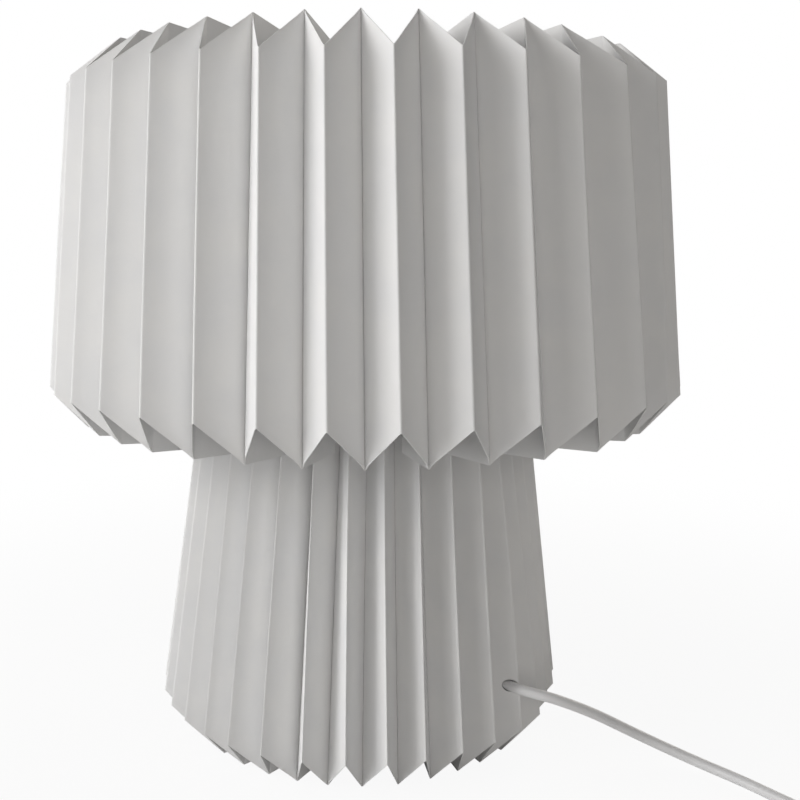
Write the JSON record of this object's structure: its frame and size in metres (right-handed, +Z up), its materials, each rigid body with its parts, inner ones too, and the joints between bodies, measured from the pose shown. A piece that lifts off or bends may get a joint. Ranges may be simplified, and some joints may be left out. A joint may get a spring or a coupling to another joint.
{
  "type": "pleated paper table lamp",
  "caption": "Free-standing table lamp with a wide pleated paper shade over a narrower pleated paper foot, and a mains cord that leaves through the foot.",
  "frame": {"origin": "centre of the foot, on the table", "axes": "+Z up along the lamp axis, -Y towards the front, +X to the right"},
  "size_m": [0.581, 0.3836, 0.4053],
  "materials": {
    "paper": "matte folded drawing paper",
    "rubber": "matt",
    "black_steel": "satin powder coat",
    "zinc_steel": "zinc plated",
    "white_metal": "satin powder coat",
    "brass": "bright",
    "bulb_metal": "bright",
    "nickel": "bright nickel",
    "white_plastic": "moulded",
    "porcelain_grey": "moulded",
    "bulb_plastic": "moulded",
    "opal": "opal",
    "board": "solder mask",
    "chip": "phosphor",
    "wire_brown": "insulated wire",
    "cord_white": "satin sheath",
    "tie": "woven strap",
    "white_gloss": "moulded",
    "rocker": "moulded"
  },
  "bodies": {
    "stand": {"cord_coil": "cord_white", "cord_grip": "white_plastic", "cord_inside": "cord_white", "cord_lead": "cord_white", "cord_tie": "tie", "cord_to_plug": "cord_white", "cord_to_switch": "cord_white", "foot_strip_1": "paper", "foot_strip_2": "paper", "foot_strip_3": "paper", "foot_strip_4": "paper", "grip_screw": "zinc_steel", "holder_cap": "white_plastic", "holder_contacts": "brass", "holder_insert": "porcelain_grey", "holder_skirt": "white_plastic", "pipe_nuts": "zinc_steel", "pipe_washer": "zinc_steel", "plug_body": "white_gloss", "plug_pins": "nickel", "plug_relief": "white_gloss", "rod_nuts": "zinc_steel", "rubber_pads": "rubber", "screw_shell": "brass", "shade_carrier": "white_metal", "spacer_rods": "zinc_steel", "switch_lower": "white_gloss", "switch_screws": "zinc_steel", "switch_upper": "white_gloss", "terminal_screws": "zinc_steel", "terminal_wires": "wire_brown", "threaded_pipe": "zinc_steel", "top_plate": "black_steel", "weight_disc": "black_steel"},
    "shade": {"shade_strip_1": "paper", "shade_strip_2": "paper", "shade_strip_3": "paper", "shade_strip_4": "paper", "shade_strip_5": "paper", "shade_strip_6": "paper"},
    "bulb_thread": {"bulb_tip": "brass"},
    "bulb": {"bulb_cap": "bulb_metal", "bulb_body": "bulb_plastic", "bulb_diffuser": "opal", "led_board": "board", "led_chips": "chip"},
    "collar": {"holder_collar": "white_plastic"},
    "rocker": {"switch_rocker": "rocker"}
  },
  "joints": [
    {"name": "shade_lift", "type": "slide", "parent": "stand", "child": "shade", "axis": [0, 0, 1], "range_m": [0, 0.2]},
    {"name": "bulb_rise", "type": "slide", "parent": "stand", "child": "bulb_thread", "axis": [0, 0, 1], "range_m": [0, 0.01814]},
    {"name": "bulb_turn", "type": "hinge", "parent": "bulb_thread", "child": "bulb", "pos_m": [0, 0, 0.25], "axis": [0, 0, 1], "range_deg": [0, 1800]},
    {"name": "collar_turn", "type": "hinge", "parent": "stand", "child": "collar", "pos_m": [0, 0, 0.238], "axis": [0, 0, 1], "range_deg": [0, 720]},
    {"name": "rocker_tilt", "type": "hinge", "parent": "stand", "child": "rocker", "pos_m": [0.35342, -0.02852, 0.0165], "axis": [0.9843, -0.1765, 0], "range_deg": [0, 14]}
  ],
  "couplings": [
    {"joint": "bulb_turn", "follows": "bulb_rise", "rad_per_m": 1731.4}
  ]
}
